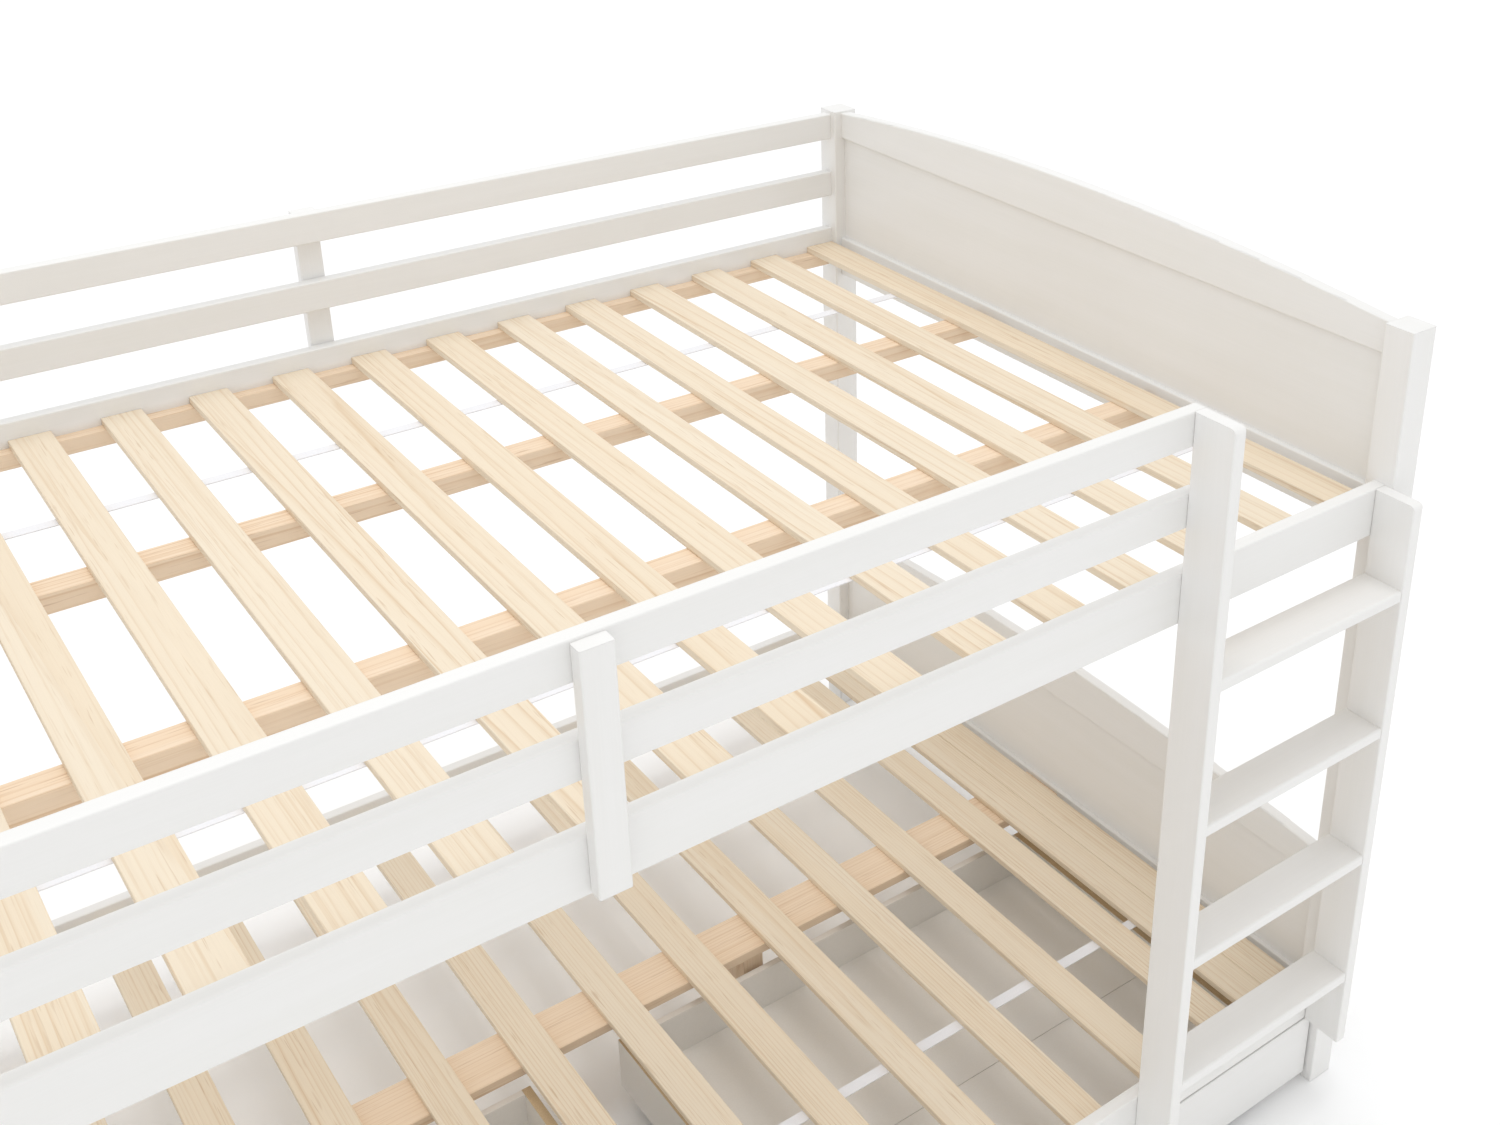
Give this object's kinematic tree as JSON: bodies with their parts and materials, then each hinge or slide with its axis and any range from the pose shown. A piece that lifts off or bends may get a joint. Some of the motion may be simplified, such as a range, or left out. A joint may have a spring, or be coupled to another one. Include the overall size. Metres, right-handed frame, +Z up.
{
  "type": "bunk bed with ladder",
  "caption": "White wooden bunk bed with slatted tiers, arched end panels, guard rails, a fixed front ladder and rolling under-bed drawers.",
  "frame": {"origin": "on the floor, under the middle of the outer box", "axes": "+X along the bed towards the ladder end, +Y from the ladder side to the wall side, +Z up"},
  "size_m": [2.2, 1.521, 1.441],
  "materials": {
    "white_paint": "satin white paint",
    "drawer_board": "white-faced board",
    "slat_wood": "bare planed pine",
    "pine": "bare planed pine",
    "webbing": "woven webbing",
    "wheel_plastic": "matt",
    "bracket_steel": "zinc plated",
    "zinc_steel": "zinc plated"
  },
  "bodies": {
    "bed_frame": {"post_front_right": "white_paint", "post_front_left": "white_paint", "post_rear_right": "white_paint", "post_rear_left": "white_paint", "upper_right_arched_rail": "white_paint", "upper_right_panel": "white_paint", "upper_right_bottom_rail": "white_paint", "upper_left_arched_rail": "white_paint", "upper_left_panel": "white_paint", "upper_left_bottom_rail": "white_paint", "lower_right_arched_rail": "white_paint", "lower_right_panel": "white_paint", "lower_right_bottom_rail": "white_paint", "lower_left_arched_rail": "white_paint", "lower_left_panel": "white_paint", "lower_left_bottom_rail": "white_paint", "upper_front_side_rail": "white_paint", "upper_rear_side_rail": "white_paint", "lower_front_side_rail": "white_paint", "lower_rear_side_rail": "white_paint", "front_top_guard_rail": "white_paint", "front_middle_guard_rail": "white_paint", "rear_top_guard_rail": "white_paint", "rear_middle_guard_rail": "white_paint", "front_joining_board": "white_paint", "rear_joining_board": "white_paint", "upper_cleats": "pine", "lower_cleats": "pine", "upper_beams": "pine", "centre_plank": "pine", "support_legs": "pine", "upper_slats": "slat_wood", "lower_slats": "slat_wood", "upper_straps": "webbing", "lower_straps": "webbing", "ladder_left_stile": "white_paint", "ladder_right_stile": "white_paint", "ladder_steps": "white_paint", "frame_bolts": "zinc_steel", "barrel_nuts": "zinc_steel"},
    "right_drawer": {"right_drawer_front": "white_paint", "right_drawer_left_side": "drawer_board", "right_drawer_right_side": "drawer_board", "right_drawer_back": "drawer_board", "right_drawer_bottom": "drawer_board", "right_drawer_castor_brackets": "bracket_steel"},
    "left_drawer": {"left_drawer_front": "white_paint", "left_drawer_left_side": "drawer_board", "left_drawer_right_side": "drawer_board", "left_drawer_back": "drawer_board", "left_drawer_bottom": "drawer_board", "left_drawer_castor_brackets": "bracket_steel"},
    "right_drawer_wheel_front_left": {"right_drawer_wheel_front_left": "wheel_plastic"},
    "right_drawer_wheel_front_right": {"right_drawer_wheel_front_right": "wheel_plastic"},
    "right_drawer_wheel_rear_left": {"right_drawer_wheel_rear_left": "wheel_plastic"},
    "right_drawer_wheel_rear_right": {"right_drawer_wheel_rear_right": "wheel_plastic"},
    "left_drawer_wheel_front_left": {"left_drawer_wheel_front_left": "wheel_plastic"},
    "left_drawer_wheel_front_right": {"left_drawer_wheel_front_right": "wheel_plastic"},
    "left_drawer_wheel_rear_left": {"left_drawer_wheel_rear_left": "wheel_plastic"},
    "left_drawer_wheel_rear_right": {"left_drawer_wheel_rear_right": "wheel_plastic"}
  },
  "joints": [
    {"name": "right_drawer_slide", "type": "slide", "parent": "bed_frame", "child": "right_drawer", "axis": [0, -1, 0], "range_m": [0, 0.55]},
    {"name": "right_drawer_wheel_front_left_roll", "type": "hinge", "parent": "right_drawer", "child": "right_drawer_wheel_front_left", "pos_m": [0.125, -0.5905, 0.0203], "axis": [1, 0, 0], "range_deg": [-5, 1580]},
    {"name": "right_drawer_wheel_front_right_roll", "type": "hinge", "parent": "right_drawer", "child": "right_drawer_wheel_front_right", "pos_m": [0.92, -0.5905, 0.0203], "axis": [1, 0, 0], "range_deg": [-5, 1580]},
    {"name": "right_drawer_wheel_rear_left_roll", "type": "hinge", "parent": "right_drawer", "child": "right_drawer_wheel_rear_left", "pos_m": [0.125, -0.0955, 0.0203], "axis": [1, 0, 0], "range_deg": [-5, 1580]},
    {"name": "right_drawer_wheel_rear_right_roll", "type": "hinge", "parent": "right_drawer", "child": "right_drawer_wheel_rear_right", "pos_m": [0.92, -0.0955, 0.0203], "axis": [1, 0, 0], "range_deg": [-5, 1580]},
    {"name": "left_drawer_slide", "type": "slide", "parent": "bed_frame", "child": "left_drawer", "axis": [0, -1, 0], "range_m": [0, 0.55]},
    {"name": "left_drawer_wheel_front_left_roll", "type": "hinge", "parent": "left_drawer", "child": "left_drawer_wheel_front_left", "pos_m": [-0.92, -0.5905, 0.0203], "axis": [1, 0, 0], "range_deg": [-5, 1580]},
    {"name": "left_drawer_wheel_front_right_roll", "type": "hinge", "parent": "left_drawer", "child": "left_drawer_wheel_front_right", "pos_m": [-0.125, -0.5905, 0.0203], "axis": [1, 0, 0], "range_deg": [-5, 1580]},
    {"name": "left_drawer_wheel_rear_left_roll", "type": "hinge", "parent": "left_drawer", "child": "left_drawer_wheel_rear_left", "pos_m": [-0.92, -0.0955, 0.0203], "axis": [1, 0, 0], "range_deg": [-5, 1580]},
    {"name": "left_drawer_wheel_rear_right_roll", "type": "hinge", "parent": "left_drawer", "child": "left_drawer_wheel_rear_right", "pos_m": [-0.125, -0.0955, 0.0203], "axis": [1, 0, 0], "range_deg": [-5, 1580]}
  ],
  "couplings": [
    {"joint": "right_drawer_wheel_front_left_roll", "follows": "right_drawer_slide", "rad_per_m": 50},
    {"joint": "right_drawer_wheel_front_right_roll", "follows": "right_drawer_slide", "rad_per_m": 50},
    {"joint": "right_drawer_wheel_rear_left_roll", "follows": "right_drawer_slide", "rad_per_m": 50},
    {"joint": "right_drawer_wheel_rear_right_roll", "follows": "right_drawer_slide", "rad_per_m": 50},
    {"joint": "left_drawer_wheel_front_left_roll", "follows": "left_drawer_slide", "rad_per_m": 50},
    {"joint": "left_drawer_wheel_front_right_roll", "follows": "left_drawer_slide", "rad_per_m": 50},
    {"joint": "left_drawer_wheel_rear_left_roll", "follows": "left_drawer_slide", "rad_per_m": 50},
    {"joint": "left_drawer_wheel_rear_right_roll", "follows": "left_drawer_slide", "rad_per_m": 50}
  ]
}
